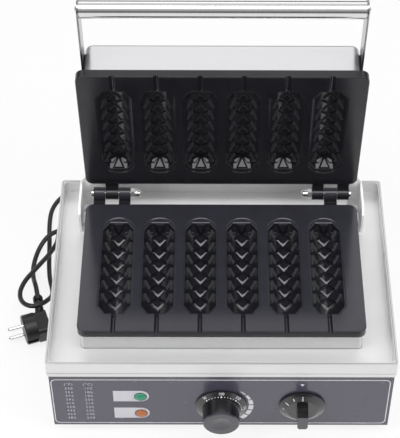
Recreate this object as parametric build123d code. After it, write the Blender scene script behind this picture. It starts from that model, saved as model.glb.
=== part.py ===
"""A countertop waffle maker for hot dogs on sticks.

A steel base with a sunken deck and a control panel carries the lower plate on a plinth. The lid
carries the upper plate, the same casting turned over, and stands open on its stop brackets.

x runs to the right, y to the back and z up. The pieces are drawn from the tray's front face and the
table top, with the lid closed, then the lid is opened and everything is moved so that the origin lies
under the middle of the object, cord left out. Lengths are in millimetres."""
from build123d import *
import os
from math import acos, atan, cos, degrees, pi, radians, sin, sqrt, tan

# Tray: deck, folded rim and hemmed skirt
deck_side_w = 33.35
deck_rear_l = 55.3
tray_sheet = 1.2
tray_corner_r = 4.0
rim_h = 21.6
rim_w = 3.4
deck_drop = 16.6
hem_h = 5.2
hem_groove_h = 0.8
hem_groove_depth = 0.5
deck_corner_r = 6.0
wire_window_w = 60.0
wire_window_l = 18.0
wire_window_setback = 21.7

# Housing and its bottom
foot_h = 12.0
panel_h = 92.5
seat_gap = 0.3
housing_sheet = 0.8
housing_corner_r = 3.0
housing_flange_w = 12.0
bottom_cover_t = 1.0
panel_t = 0.8
panel_side_margin = 1.0
panel_foot_margin = 1.2
foot_r = 15.0
foot_sole_r = 13.0
foot_inset = 34.0
foot_recess_r = 6.5
foot_recess_depth = 5.5
foot_screw_r = 2.5
foot_screw_head_r = 5.0
foot_screw_head_h = 3.0
foot_screw_grip = 4.0
screw_hole_clear = 0.1
vent_w = 3.0
vent_l = 34.0
vent_pitch = 12.0
vent_count = 9
rear_vent_x = 10.0
rear_vent_z = 46.0
bottom_vent_y = 110.0
bottom_vent_rows = 2
bottom_vent_row_pitch = 50.0

# Plinth under the lower plate
plinth_side_inset = 2.9
plinth_end_inset = 3.4
plinth_h = 24.4
plinth_sheet = 1.2
plinth_corner_r = 4.0
plinth_flange_w = 7.0

# Plate castings
plate_w = 313.3
plate_l = 187.2
plate_setback = 31.5
plate_edge_t = 10.2
plate_corner_r = 9.0
plate_edge_break = 0.9
closing_gap = 0.6
core_floor_t = 5.0
core_gap = 2.0
core_corner_r = 8.0

# Moulds in the plates
mould_count = 6
mould_pitch = 47.0
mould_w = 35.8
mould_front = 24.5
mould_rear = 29.2
mould_depth = 14.0
mould_draft = 27.0
mould_end_run = 6.0
mould_corner_run = 3.0
mould_corner_w = 8.1
mould_corner_l = 11.5
land_margin = 1.4
land_depth = 0.8
stick_slot_r = 2.6

# Studs that press the waffle pattern
stud_pitch = 18.8
stud_rows = 6
stud_first = 22.5
stud_half_w = 12.7
stud_half_l = 8.6
stud_apex_h = 6.5
stud_cap_share = 0.3
stud_h = 2.5
side_stud_turn = 33.0
side_stud_half_w = 11.5
side_stud_apex_h = 9.0
end_stud_half_w = 7.2
end_stud_l = 17.0
end_stud_apex_h = 9.0

# Hinges
hinge_setback = 16.7
hinge_inset = 29.45
lug_r = 7.4
lug_mid_w = 14.8
lug_side_w = 13.4
lug_gap = 0.6
lug_arm_drop = 3.0
pin_r = 3.0
pin_clear = 0.06
pin_head_r = 4.6
pin_head_t = 2.8
pin_head_break = 0.8
pin_thread_l = 7.0
nut_across = 10.0
nut_hex_h = 4.8
nut_h = 12.3
nut_dome_r = 4.4
open_angle = 83.6

# Stop brackets beside the hinges
bracket_sheet = 2.5
bracket_side_gap = 5.85
bracket_cheek_l = 32.4
bracket_rear_setback = 14.6
bracket_cheek_rise = 5.6
bracket_inner_gap = 0.9
bracket_shoulder_out = 0.35
bracket_tab_setback = 0.6
bracket_foot_w = 6.0
bracket_nose_r = 8.0
bracket_screw_r = 1.5
bracket_screw_head_r = 2.6
bracket_screw_head_h = 1.6
bracket_screw_y_shares = [0.25, 0.75]

# Lid cover
cover_side_inset = 8.15
cover_end_inset = 5.0
cover_h = 43.0
cover_sheet = 1.2
cover_corner_r = 9.0
cover_top_r = 6.0

# Handle
handle_tube_r = 9.5
handle_tube_wall = 1.2
handle_reach = 75.0
handle_rise = 31.3
arm_t = 2.0
arm_w = 24.0
arm_overlap = 51.5
handle_plug_l = 14.0
handle_screw_r = 2.5
handle_screw_l = 10.0
handle_screw_head_r = 4.6
handle_screw_head_h = 3.0
rivet_r = 2.0
rivet_head_r = 4.0
rivet_head_h = 1.8
rivet_inset = 12.0
rivet_pitch = 22.0

# Heaters, insulation and sensor
heater_r = 3.25
heater_bend_r = 14.0
heater_side_inset = 24.65
heater_setback = 21.5
heater_end_x = 16.0
lower_heater_tail = 34.0
upper_heater_tail = 17.0
touch_gap = 0.1
pad_side_gap = 6.3
pad_end_gap = 6.4
bulb_r = 2.5
bulb_ahead = 53.1
bulb_behind = 32.9
capillary_r = 0.8
capillary_bend_r = 12.0

# Controls
knob_z = 51.0
knob_gap = 0.6
shaft_r = 3.0
shaft_clear = 0.05
shaft_flat = 1.0
shaft_front_y = -15.0
shaft_rear_y = 18.0
bore_slack = 1.0
bush_r = 4.5
bush_hole_clear = 0.3
bush_proud_gap = 0.2
temperature_x = 0.0
temperature_skirt_r = 28.5
temperature_skirt_edge = 1.6
temperature_skirt_top_r = 21.9
temperature_skirt_h = 5.4
temperature_grip_r = 20.9
temperature_grip_tip_r = 20.1
temperature_knob_h = 25.2
temperature_tip_break = 1.3
temperature_dish_r = 11.0
temperature_dish_depth = 1.2
thermostat_w = 42.0
thermostat_d = 28.0
thermostat_h = 34.0
timer_x = 89.5
timer_skirt_r = 25.5
timer_skirt_edge = 2.2
timer_skirt_top_r = 22.8
timer_skirt_shoulder = 1.6
timer_face_r = 17.0
timer_skirt_h = 6.8
timer_grip_w = 12.6
timer_grip_tip_w = 11.4
timer_grip_up = 10.4
timer_grip_down = 10.8
timer_grip_chamfer = 3.2
timer_knob_h = 24.0
timer_body_w = 46.0
timer_body_d = 30.0
lamp_x = -89.0
heating_lamp_z = 36.0
power_lamp_z = 67.5
lens_r = 6.5
lens_flange_t = 1.2
lens_dome_h = 3.6
lamp_body_r = 5.4
lamp_body_l = 22.0
lamp_hole_clear = 0.3

# Terminal block and glands
terminal_w = 60.0
terminal_l = 20.0
terminal_h = 22.0
terminal_x = -45.0
terminal_setback = 40.5
terminal_count = 3
terminal_slot_w = 3.0
terminal_slot_depth = 6.0
gland_x = -105.0
gland_z = 40.0
gland_nut_r = 10.0
gland_nut_h = 6.0
gland_neck_r = 6.0
gland_hole_clear = 0.3
gland_flange_r = 10.5
gland_flange_t = 3.5
gland_root_r = 6.6
gland_sleeve_l = 31.0
gland_tip_wall = 1.4
lead_gland_x = 70.0
lead_gland_z = 88.0
lead_gland_lid_rise = 22.0
lead_gland_across = 16.0
lead_gland_hex_h = 6.0
lead_gland_collar_r = 7.0
lead_gland_l = 14.0
lead_gland_bore_r = 4.0
lead_gland_bore_depth = 10.0

# Cord and plug
cord_d = 5.8
coil_gap = 0.6
coil_mid_turn_d = 66.0
coil_in_half_turns = 4
coil_x = 25.0
coil_y = 374.0
bend_share = 0.45
cord_stub_l = 14.5
plug_x = -233.0
plug_y = 131.0
plug_yaw = 20.0
plug_roll = 6.0
plug_r = 18.0
plug_face_break = 1.2
plug_disc_t = 15.0
plug_t = 30.0
plug_back_w = 25.0
plug_back_reach = 14.5
plug_back_r = 5.0
plug_clip_w = 6.0
plug_clip_depth = 2.0
plug_recess_l = 13.0
plug_neck_offset = 22.5
plug_neck_end_x = -221.1
plug_neck_end_y = 182.7
plug_neck_r = 6.6
plug_neck_tip_r = 4.4
plug_collar_r = 6.0
plug_collar_w = 5.0
plug_collar_back = 3.2
plug_pin_r = 2.4
plug_pin_l = 19.0
plug_pin_pitch = 19.0
plug_pin_break = 1.6

# One overrun serves every cut
over = 2.0

# Heights and places that follow from the sizes above
tray_w = plate_w + 2 * deck_side_w
tray_d = plate_setback + plate_l + deck_rear_l
tray_z = foot_h + panel_h
rim_z = tray_z + rim_h
deck_z = rim_z - deck_drop
mid_y = tray_d / 2
housing_inset = tray_sheet + seat_gap
housing_w = tray_w - 2 * housing_inset
housing_d = tray_d - 2 * housing_inset
housing_z = foot_h + bottom_cover_t
housing_top_z = deck_z - tray_sheet
wall_front_y = housing_inset
wall_inner_y = housing_inset + housing_sheet
wall_rear_y = tray_d - housing_inset
panel_face_y = wall_front_y - panel_t
plate_rear_y = plate_setback + plate_l
plate_mid_y = plate_setback + plate_l / 2
plate_top_z = deck_z + plinth_h + plate_edge_t
axis_y = plate_rear_y + hinge_setback
axis_z = plate_top_z + closing_gap / 2
hinge_x = plate_w / 2 - hinge_inset
wire_window_y = plate_rear_y - wire_window_setback
terminal_y = wall_rear_y - terminal_setback
plinth_w = plate_w - 2 * plinth_side_inset
plinth_l = plate_l - 2 * plinth_end_inset
bracket_outer_x = plate_w / 2 + bracket_side_gap + bracket_sheet
bracket_shoulder_x = plate_w / 2 + bracket_shoulder_out
bracket_front_y = axis_y - bracket_cheek_l
mould_l = plate_l - mould_front - mould_rear
draft = radians(mould_draft)
trough_r = (mould_w / 2 - mould_depth * tan(draft)) * cos(draft) / (1 - sin(draft))
lid_face_z = axis_z + closing_gap / 2
cover_w = plate_w - 2 * cover_side_inset
cover_l = plate_l - 2 * cover_end_inset
cover_z = lid_face_z + plate_edge_t
cover_front_y = plate_mid_y - cover_l / 2
cover_rear_y = plate_mid_y + cover_l / 2
cover_top_z = cover_z + cover_h
core_depth = mould_depth + core_floor_t
core_w = cover_w - 2 * cover_sheet - 2 * core_gap
core_l = cover_l - 2 * cover_sheet - 2 * core_gap
pad_w = cover_w - 2 * cover_sheet - 2 * pad_side_gap
pad_l = cover_l - 2 * cover_sheet - 2 * pad_end_gap
heater_half_w = plate_w / 2 - heater_side_inset
heater_front_y = plate_setback + heater_setback
bulb_front_y = plate_mid_y - bulb_ahead
bulb_rear_y = plate_mid_y + bulb_behind
arm_root_y = cover_front_y + arm_overlap
tube_y = cover_front_y - handle_reach
tube_z = axis_z + handle_rise
arm_x = cover_w / 2
knob_back_y = panel_face_y - knob_gap
cord_r = cord_d / 2
plug_frame = Pos(plug_x, plug_y, plug_r) * Rot(Z=plug_yaw) * Rot(X=plug_roll)
lug_side_x = lug_mid_w / 2 + lug_gap + lug_side_w / 2


def block(low, high):
    """Box between two corners."""
    size = [b - a for a, b in zip(low, high)]
    mid = [(a + b) / 2 for a, b in zip(low, high)]
    return Pos(*mid) * Box(*size)


def slab(width, length, radius, low_z, high_z, y=mid_y):
    """Upright block with rounded corners, centred on x = 0 and on y."""
    face = Plane.XY.offset(low_z) * Pos(0, y) * RectangleRounded(width, length, radius)
    return extrude(face, amount=high_z - low_z)


def rod_x(radius, x0, x1, y, z):
    """Round bar along x."""
    return Pos((x0 + x1) / 2, y, z) * Rot(Y=90) * Cylinder(radius, x1 - x0)


def rod_y(radius, y0, y1, x, z):
    """Round bar along y."""
    return Pos(x, (y0 + y1) / 2, z) * Rot(X=90) * Cylinder(radius, y1 - y0)


def turned_y(points, x, z):
    """Solid of revolution about a line along y through (x, z), from points (radius, y)."""
    profile = make_face(Polyline(*points, close=True))
    return Pos(x, 0, z) * revolve(profile, Axis.Y)


def turned_x(points, y, z):
    """Solid of revolution about a line along x through (y, z), from points (x, radius)."""
    profile = make_face(Polyline(*points, close=True))
    return Pos(0, y, z) * revolve(profile, Axis.X)


def prism_x(points, x0, x1):
    """Straight prism along x from an outline of (y, z) points."""
    face = make_face(Plane.YZ.offset(x0) * Polyline(*points, close=True))
    return extrude(face, amount=x1 - x0, dir=(1, 0, 0))


def prism_y(points, y0, y1):
    """Straight prism along y from an outline of (x, z) points."""
    face = make_face(Plane.XZ.offset(-y0) * Polyline(*points, close=True))
    return extrude(face, amount=y1 - y0, dir=(0, 1, 0))


def tube_along(path, radius):
    """Round bar swept along a path."""
    section = Plane(origin=path @ 0, z_dir=path % 0) * Circle(radius)
    return sweep(section, path=path)


def mirrored(shape):
    """The same piece on the other side of x = 0."""
    return mirror(shape, about=Plane.YZ)


def each_corner(inset_x, inset_y, length, width, y):
    """Four places, inset from the corners of a rectangle."""
    half_w = width / 2 - inset_x
    half_l = length / 2 - inset_y
    return [(sx * half_w, y + sy * half_l) for sx in (-1, 1) for sy in (-1, 1)]


foot_places = each_corner(foot_inset, foot_inset, housing_d, housing_w, mid_y)


def make_deck_tray():
    inner_w = tray_w - 2 * rim_w
    inner_d = tray_d - 2 * rim_w
    hollow_w = tray_w - 2 * tray_sheet
    hollow_d = tray_d - 2 * tray_sheet
    tray = slab(tray_w, tray_d, tray_corner_r, tray_z, rim_z)
    under = slab(hollow_w, hollow_d, tray_corner_r - tray_sheet, tray_z - over, rim_z - tray_sheet)
    pan_w = inner_w + 2 * tray_sheet
    pan_d = inner_d + 2 * tray_sheet
    under -= slab(pan_w, pan_d, deck_corner_r + tray_sheet, deck_z - tray_sheet, rim_z)
    tray -= under
    tray -= slab(inner_w, inner_d, deck_corner_r, deck_z, rim_z + over)
    groove_z = tray_z + hem_h
    ring = slab(tray_w + 2 * over, tray_d + 2 * over, tray_corner_r, groove_z, groove_z + hem_groove_h)
    keep_w = tray_w - 2 * hem_groove_depth
    keep_d = tray_d - 2 * hem_groove_depth
    keep_r = tray_corner_r - hem_groove_depth
    ring -= slab(keep_w, keep_d, keep_r, groove_z - over, groove_z + hem_groove_h + over)
    tray -= ring
    return tray - wire_window(deck_z - tray_sheet - over, deck_z + over)


def wire_window(low_z, high_z):
    """Cutter for the way of the heater's ends and the sensor's tube."""
    half = wire_window_w / 2
    front = wire_window_y - wire_window_l / 2
    return block((-half, front, low_z), (half, front + wire_window_l, high_z))


def make_base_housing():
    shell = slab(housing_w, housing_d, housing_corner_r, housing_z, housing_top_z)
    hollow_w = housing_w - 2 * housing_sheet
    hollow_d = housing_d - 2 * housing_sheet
    hollow_r = housing_corner_r - housing_sheet
    shell -= slab(hollow_w, hollow_d, hollow_r, housing_z + housing_sheet, housing_top_z - housing_sheet)
    mouth_w = hollow_w - 2 * housing_flange_w
    mouth_d = hollow_d - 2 * housing_flange_w
    shell -= slab(mouth_w, mouth_d, housing_corner_r, housing_z - over, housing_top_z + over)
    shell -= control_holes(wall_front_y - over, wall_inner_y + over)
    rear_from = wall_rear_y - housing_sheet - over
    rear_to = wall_rear_y + over
    shell -= rod_y(gland_neck_r + gland_hole_clear, rear_from, rear_to, gland_x, gland_z)
    shell -= rod_y(lead_gland_collar_r + gland_hole_clear, rear_from, rear_to, lead_gland_x, lead_gland_z)
    for i in range(vent_count):
        x = rear_vent_x + i * vent_pitch
        low = (x - vent_w / 2, rear_from, rear_vent_z - vent_l / 2)
        shell -= block(low, (x + vent_w / 2, rear_to, rear_vent_z + vent_l / 2))
    return shell


def control_holes(front_y, rear_y):
    """Cutters through the front wall for the two bushes and the two lamps."""
    bush_hole_r = bush_r + bush_hole_clear
    lamp_hole_r = lamp_body_r + lamp_hole_clear
    cutters = [rod_y(bush_hole_r, front_y, rear_y, x, knob_z) for x in (temperature_x, timer_x)]
    for z in (heating_lamp_z, power_lamp_z):
        cutters.append(rod_y(lamp_hole_r, front_y, rear_y, lamp_x, z))
    return Compound(cutters)


def make_front_panel():
    half = housing_w / 2 - panel_side_margin
    low = (-half, panel_face_y, foot_h + panel_foot_margin)
    panel = block(low, (half, wall_front_y, tray_z - seat_gap))
    return panel - control_holes(panel_face_y - over, wall_front_y + over)


def make_bottom_cover():
    cover = slab(housing_w, housing_d, housing_corner_r, foot_h, foot_h + bottom_cover_t)
    low_z = foot_h - over
    high_z = foot_h + bottom_cover_t + over
    for x, y in foot_places:
        cover -= Pos(x, y, foot_h) * Cylinder(foot_screw_r + screw_hole_clear, 2 * over)
    span = (vent_count - 1) * vent_pitch
    for row in range(bottom_vent_rows):
        y = bottom_vent_y + row * bottom_vent_row_pitch
        for i in range(vent_count):
            x = i * vent_pitch - span / 2
            low = (x - vent_w / 2, y - vent_l / 2, low_z)
            cover -= block(low, (x + vent_w / 2, y + vent_l / 2, high_z))
    return cover


def make_feet():
    profile = [
        (foot_screw_r + screw_hole_clear, foot_h),
        (foot_screw_r + screw_hole_clear, foot_recess_depth),
        (foot_recess_r, foot_recess_depth),
        (foot_recess_r, 0),
        (foot_sole_r, 0),
        (foot_r, foot_h),
    ]
    foot = revolve(make_face(Plane.XZ * Polyline(*profile, close=True)), Axis.Z)
    return Compound([Pos(x, y) * foot for x, y in foot_places])


def make_foot_screws():
    shank_top = foot_h + bottom_cover_t + foot_screw_grip
    head_z = foot_recess_depth - foot_screw_head_h
    profile = [
        (0, head_z),
        (foot_screw_head_r, head_z),
        (foot_screw_head_r, foot_recess_depth),
        (foot_screw_r, foot_recess_depth),
        (foot_screw_r, shank_top),
        (0, shank_top),
    ]
    screw = revolve(make_face(Plane.XZ * Polyline(*profile, close=True)), Axis.Z)
    return Compound([Pos(x, y) * screw for x, y in foot_places])


def make_plinth():
    top = deck_z + plinth_h
    shell = slab(plinth_w, plinth_l, plinth_corner_r, deck_z, top, plate_mid_y)
    hollow_w = plinth_w - 2 * plinth_sheet
    hollow_l = plinth_l - 2 * plinth_sheet
    hollow_r = plinth_corner_r - plinth_sheet
    shell -= slab(hollow_w, hollow_l, hollow_r, deck_z + plinth_sheet, top + over, plate_mid_y)
    mouth_w = hollow_w - 2 * plinth_flange_w
    mouth_l = hollow_l - 2 * plinth_flange_w
    shell -= slab(mouth_w, mouth_l, hollow_r, deck_z - over, top, plate_mid_y)
    return shell


def mould_ends(inset, z):
    """Octagon at height z that bounds a mould's ends and corners, moved inwards by inset."""
    end = inset - mould_end_run * z / mould_depth
    corner = inset - mould_corner_run * z / mould_depth
    side = mould_w / 2 + over
    slope = mould_corner_l / mould_corner_w
    lean = sqrt(slope**2 + 1)
    flat = mould_w / 2 - mould_corner_w + (end - corner * lean) / slope
    shoulder = slope * (mould_corner_w + over) + corner * lean
    front = plate_setback + mould_front
    rear = front + mould_l
    points = [
        (-flat, front + end),
        (flat, front + end),
        (side, front + shoulder),
        (side, rear - shoulder),
        (flat, rear - end),
        (-flat, rear - end),
        (-side, rear - shoulder),
        (-side, front + shoulder),
    ]
    return make_face(Plane.XY.offset(z) * Polyline(*points, close=True))


def mould_trough(inset):
    """Pocket with drafted walls, a round floor and steep ends, all moved inwards by inset."""
    radius = trough_r - inset
    depth = mould_depth - inset
    wall_x = radius * cos(draft)
    wall_z = radius * (1 - sin(draft)) - depth
    top_x = wall_x + (over - wall_z) * tan(draft)
    section = [
        Line((-top_x, over), (top_x, over)),
        Line((top_x, over), (wall_x, wall_z)),
        ThreePointArc((wall_x, wall_z), (0, -depth), (-wall_x, wall_z)),
        Line((-wall_x, wall_z), (-top_x, over)),
    ]
    front = plate_setback + mould_front - over
    face = Plane.XZ.offset(-front) * make_face(section)
    bar = extrude(face, amount=mould_l + 2 * over, dir=(0, 1, 0))
    ends = [mould_ends(inset, -mould_depth - over), mould_ends(inset, 0)]
    return bar & loft(ends, ruled=True)


def make_stud(half_w, half_l, apex_h):
    """Blunt pyramid on a diamond at z = 0, with its foot below."""
    diamond = [(0, -half_l), (half_w, 0), (0, half_l), (-half_w, 0)]
    rings = []
    for share in (1 + over / apex_h, stud_cap_share):
        ring = [(share * x, share * y, apex_h * (1 - share)) for x, y in diamond]
        rings.append(make_face(Polyline(*ring, close=True)))
    return loft(rings, ruled=True)


def make_mould_void():
    """What one mould takes out of a plate: its pocket less the studs, whose tops follow its walls."""
    front = plate_setback + mould_front
    end_turn = degrees(atan(mould_depth / mould_end_run))
    end_stud = make_stud(end_stud_half_w, end_stud_l, end_stud_apex_h)
    studs = [Pos(0, front + mould_l, 0) * Rot(X=end_turn) * end_stud]
    stud = make_stud(stud_half_w, stud_half_l, stud_apex_h)
    side_stud = make_stud(side_stud_half_w, stud_half_l, side_stud_apex_h)
    for row in range(stud_rows):
        y = front + stud_first + row * stud_pitch
        studs.append(Pos(0, y, -mould_depth) * stud)
        for turn in (-side_stud_turn, side_stud_turn):
            on_wall = Pos(0, y + stud_pitch / 2, trough_r - mould_depth) * Rot(Y=turn)
            studs.append(on_wall * Pos(0, 0, -trough_r) * side_stud)
    void = mould_trough(0) - studs + mould_trough(stud_h)
    land = extrude(land_outline(), amount=land_depth + over)
    slot_from = plate_setback - over
    slot = rod_y(stick_slot_r, slot_from, front + mould_end_run, 0, 0)
    return void + land + slot


def land_outline():
    """Outline of the shallow land round a mould, at its depth; its rear end is a half circle."""
    half = mould_w / 2 + land_margin
    front = plate_setback + mould_front - land_margin
    side_y = front + mould_corner_l
    round_y = plate_setback + mould_front + mould_l - mould_corner_l
    edges = [
        Line((mould_corner_w - half, front), (half - mould_corner_w, front)),
        Line((half - mould_corner_w, front), (half, side_y)),
        Line((half, side_y), (half, round_y)),
        CenterArc((0, round_y), half, 0, 180),
        Line((-half, round_y), (-half, side_y)),
        Line((-half, side_y), (mould_corner_w - half, front)),
    ]
    return Pos(0, 0, -land_depth) * make_face(edges)


def make_lug(x, width):
    """Hinge lug of a casting: an arm from the plate's rear edge and an eye round the axis."""
    eye_z = closing_gap / 2
    x0 = x - width / 2
    root_y = plate_rear_y - plate_edge_break
    profile = [
        (root_y, -lug_arm_drop),
        (axis_y, eye_z - lug_arm_drop),
        (axis_y, eye_z - lug_r),
        (root_y, -plate_edge_t + plate_edge_break),
    ]
    arm = prism_x(profile, x0, x0 + width)
    lug = arm + rod_x(lug_r, x0, x0 + width, axis_y, eye_z)
    return lug - rod_x(pin_r + pin_clear, x0 - over, x0 + width + over, axis_y, eye_z)


def make_casting():
    """Plate casting with its parting face at z = 0 and the moulds open upwards."""
    plate = slab(plate_w, plate_l, plate_corner_r, -plate_edge_t, 0, plate_mid_y)
    rims = plate.edges().group_by(Axis.Z)
    plate = chamfer(rims[-1], plate_edge_break)
    plate += slab(core_w, core_l, core_corner_r, -core_depth, -plate_edge_t, plate_mid_y)
    void = make_mould_void()
    span = (mould_count - 1) * mould_pitch
    plate -= [Pos(i * mould_pitch - span / 2, 0, 0) * void for i in range(mould_count)]
    plate += make_lug(-hinge_x - lug_side_x, lug_side_w)
    plate += make_lug(-hinge_x + lug_side_x, lug_side_w)
    plate += make_lug(hinge_x, lug_mid_w)
    return plate


def make_hinge_pin():
    """Right hinge's pin, its head on the outside and its thread on the inside."""
    outer = hinge_x + lug_side_x + lug_side_w / 2 + seat_gap
    inner = hinge_x - lug_side_x - lug_side_w / 2 - seat_gap - pin_thread_l
    profile = [
        (inner, 0),
        (inner, pin_r),
        (outer, pin_r),
        (outer, pin_head_r),
        (outer + pin_head_t - pin_head_break, pin_head_r),
        (outer + pin_head_t, pin_head_r - pin_head_break),
        (outer + pin_head_t, 0),
    ]
    return turned_x(profile, axis_y, axis_z)


def make_acorn_nut():
    """Right hinge's acorn nut, with its dome towards the middle."""
    seat = hinge_x - lug_side_x - lug_side_w / 2 - seat_gap
    hexagon = Plane.YZ.offset(seat) * RegularPolygon(nut_across / 2, 6, major_radius=False)
    nut = extrude(hexagon, amount=-nut_hex_h)
    shoulder = nut_h - nut_hex_h - nut_dome_r
    nut += rod_x(nut_dome_r, -nut_hex_h - shoulder, -nut_hex_h, 0, 0).moved(Location((seat, 0, 0)))
    dome = Pos(seat - nut_hex_h - shoulder, 0, 0) * Sphere(nut_dome_r)
    nut += dome
    bore = pin_thread_l + touch_gap
    nut -= rod_x(pin_r + pin_clear, seat - bore, seat + over, 0, 0)
    return Pos(0, axis_y, axis_z) * nut


def lid_rear_face_z(y):
    """Height of the open lid plate's rear edge face above a given y."""
    turn = radians(open_angle)
    start_y = axis_y - hinge_setback * cos(turn) + closing_gap / 2 * sin(turn)
    start_z = axis_z + hinge_setback * sin(turn) + closing_gap / 2 * cos(turn)
    return start_z + (y - start_y) / tan(turn)


def make_stop_bracket():
    """Right-hand bracket: cheek beside the plate, rear leg, and a tab on which the open lid rests."""
    rear_y = axis_y + bracket_rear_setback
    cheek_top = axis_z + bracket_cheek_rise
    lug_face = hinge_x + lug_side_x + lug_side_w / 2
    inner_x = lug_face + bracket_inner_gap
    outer_x = bracket_outer_x
    tab_y = axis_y + bracket_tab_setback
    tab_top = lid_rear_face_z(tab_y) - seat_gap
    cheek_outline = [
        (bracket_front_y, deck_z),
        (rear_y, deck_z),
        (rear_y, cheek_top),
        (bracket_front_y + bracket_nose_r, cheek_top),
        (bracket_front_y, cheek_top - bracket_nose_r),
    ]
    bracket = prism_x(cheek_outline, outer_x - bracket_sheet, outer_x)
    leg_outline = [
        (inner_x, deck_z),
        (outer_x, deck_z),
        (outer_x, cheek_top),
        (bracket_shoulder_x, tab_top),
        (inner_x, tab_top),
    ]
    bracket += prism_y(leg_outline, rear_y - bracket_sheet, rear_y)
    bracket += block((inner_x, tab_y, tab_top - bracket_sheet), (bracket_shoulder_x, rear_y, tab_top))
    foot_x = outer_x - bracket_sheet - bracket_foot_w
    bracket += block((foot_x, bracket_front_y, deck_z), (outer_x, rear_y, deck_z + bracket_sheet))
    for x, y in bracket_screw_places():
        bracket -= Pos(x, y, deck_z) * Cylinder(bracket_screw_r + screw_hole_clear, 2 * bracket_sheet + over)
    return bracket


def bracket_screw_places():
    x = bracket_outer_x - bracket_sheet - bracket_foot_w / 2
    length = axis_y + bracket_rear_setback - bracket_sheet - bracket_front_y
    return [(x, bracket_front_y + share * length) for share in bracket_screw_y_shares]


def make_bracket_screws():
    head_z = deck_z + bracket_sheet
    screws = []
    for x, y in bracket_screw_places():
        for side in (-1, 1):
            head = Pos(side * x, y, head_z + bracket_screw_head_h / 2) * Cylinder(
                bracket_screw_head_r, bracket_screw_head_h
            )
            shank_mid = head_z - bracket_sheet / 2
            screws.append(head + Pos(side * x, y, shank_mid) * Cylinder(bracket_screw_r, bracket_sheet))
    return Compound(screws)


def make_heater(z, tail):
    """Tubular heater in one plane, with both ends turned away from the plate by tail."""
    rear = wire_window_y
    half = heater_half_w
    front = heater_front_y
    points = [
        (heater_end_x, rear, z + tail),
        (heater_end_x, rear, z),
        (half, rear, z),
        (half, front, z),
        (-half, front, z),
        (-half, rear, z),
        (-heater_end_x, rear, z),
        (-heater_end_x, rear, z + tail),
    ]
    path = FilletPolyline(*points, radius=heater_bend_r)
    return tube_along(path, heater_r)


def make_pad(low_z, high_z):
    """Insulation board with a way through for the heater's ends."""
    board = slab(pad_w, pad_l, core_corner_r, low_z, high_z, plate_mid_y)
    return board - wire_window(low_z - over, high_z + over)


def make_thermostat_sensor(core_z):
    """Sensor bulb under the lower casting and its capillary down to the thermostat."""
    z = core_z - bulb_r - touch_gap
    bulb = rod_y(bulb_r, bulb_front_y, bulb_rear_y, 0, z)
    points = [
        (0, bulb_rear_y, z),
        (0, wire_window_y, z),
        (0, wire_window_y, knob_z),
        (0, wall_inner_y + thermostat_d, knob_z),
    ]
    return bulb + tube_along(FilletPolyline(*points, radius=capillary_bend_r), capillary_r)


def d_bar(radius, front_y, rear_y):
    """Round bar along y with one flat on top."""
    bar = rod_y(radius, front_y, rear_y, 0, 0)
    flat_z = radius - shaft_flat
    return bar - block((-radius, front_y - over, flat_z), (radius, rear_y + over, radius + over))


def make_shaft(x):
    """Shaft with a flat at its knob and a round journal in its body."""
    journal = rod_y(shaft_r, knob_back_y, shaft_rear_y, x, knob_z)
    return journal + Pos(x, 0, knob_z) * d_bar(shaft_r, shaft_front_y, knob_back_y)


def make_control_body(x, width, depth, height):
    """Thermostat or timer behind the front wall, with its bush through the wall."""
    low = (x - width / 2, wall_inner_y, knob_z - height / 2)
    body = block(low, (x + width / 2, wall_inner_y + depth, knob_z + height / 2))
    body += rod_y(bush_r, panel_face_y + bush_proud_gap, wall_inner_y + bush_r, x, knob_z)
    return body - rod_y(shaft_r + shaft_clear, panel_face_y - over, shaft_rear_y + bore_slack, x, knob_z)


def shaft_socket(x):
    """Cutter for the blind bore of a knob."""
    return Pos(x, 0, knob_z) * d_bar(shaft_r + shaft_clear, shaft_front_y - bore_slack, knob_back_y + over)


def make_temperature_knob():
    back = knob_back_y
    tip = back - temperature_knob_h
    grip_y = back - temperature_skirt_h
    outline = [
        Line((0, back), (temperature_skirt_r, back)),
        Line((temperature_skirt_r, back), (temperature_skirt_r, back - temperature_skirt_edge)),
        Line((temperature_skirt_r, back - temperature_skirt_edge), (temperature_skirt_top_r, grip_y)),
        Line((temperature_skirt_top_r, grip_y), (temperature_grip_r, grip_y)),
        Line((temperature_grip_r, grip_y), (temperature_grip_tip_r, tip + temperature_tip_break)),
        Line(
            (temperature_grip_tip_r, tip + temperature_tip_break),
            (temperature_grip_tip_r - temperature_tip_break, tip),
        ),
        Line((temperature_grip_tip_r - temperature_tip_break, tip), (temperature_dish_r, tip)),
        dish_arc(tip),
        Line((0, tip + temperature_dish_depth), (0, back)),
    ]
    knob = Pos(temperature_x, 0, knob_z) * revolve(make_face(outline), Axis.Y)
    return knob - shaft_socket(temperature_x)


def dish_arc(tip):
    """Half profile of the shallow dish in the knob's end, an arc that is level at the middle."""
    depth = temperature_dish_depth
    radius = (temperature_dish_r**2 + depth**2) / (2 * depth)
    half_turn = acos(1 - depth / radius) / 2
    middle = (radius * sin(half_turn), tip + depth - radius * (1 - cos(half_turn)))
    return ThreePointArc((temperature_dish_r, tip), middle, (0, tip + depth))


def make_timer_knob():
    back = knob_back_y
    profile = [
        (0, back),
        (timer_skirt_r, back),
        (timer_skirt_r, back - timer_skirt_edge),
        (timer_skirt_top_r, back - timer_skirt_edge - timer_skirt_shoulder),
        (timer_face_r, back - timer_skirt_h),
        (0, back - timer_skirt_h),
    ]
    knob = turned_y(profile, timer_x, knob_z)
    root_y = back - timer_skirt_h / 2
    ends = ((timer_grip_w, root_y), (timer_grip_tip_w, back - timer_knob_h))
    faces = [grip_outline(width, y) for width, y in ends]
    knob += Pos(timer_x, 0, knob_z) * loft(faces, ruled=True)
    return knob - shaft_socket(timer_x)


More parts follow.
